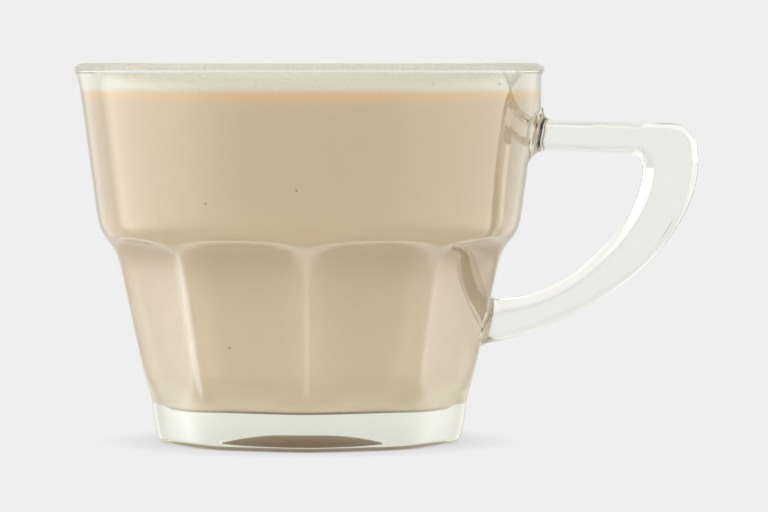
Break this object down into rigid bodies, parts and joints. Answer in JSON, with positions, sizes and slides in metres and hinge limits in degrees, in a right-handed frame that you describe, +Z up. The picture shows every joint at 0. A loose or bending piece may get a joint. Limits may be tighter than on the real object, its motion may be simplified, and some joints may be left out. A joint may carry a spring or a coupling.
{
  "type": "masala chai in a glass mug",
  "caption": "Milky spiced tea with a thin froth head, filled to the brim of a low, thick clear glass mug with a flat-panelled lower body and a D-shaped handle.",
  "frame": {"origin": "on the surface the mug stands on, under the middle of its whole outline, handle included", "axes": "+Z up along the cup's axis, +X towards the handle, -Y the side seen from the front"},
  "size_m": [0.1128, 0.085, 0.0684],
  "materials": {
    "clear_glass": "polished",
    "milky_tea": "smooth liquid",
    "milk_froth": "fine foam"
  },
  "bodies": {
    "root": {"glass_mug": "clear_glass", "tea": "milky_tea", "froth": "milk_froth"}
  },
  "joints": []
}
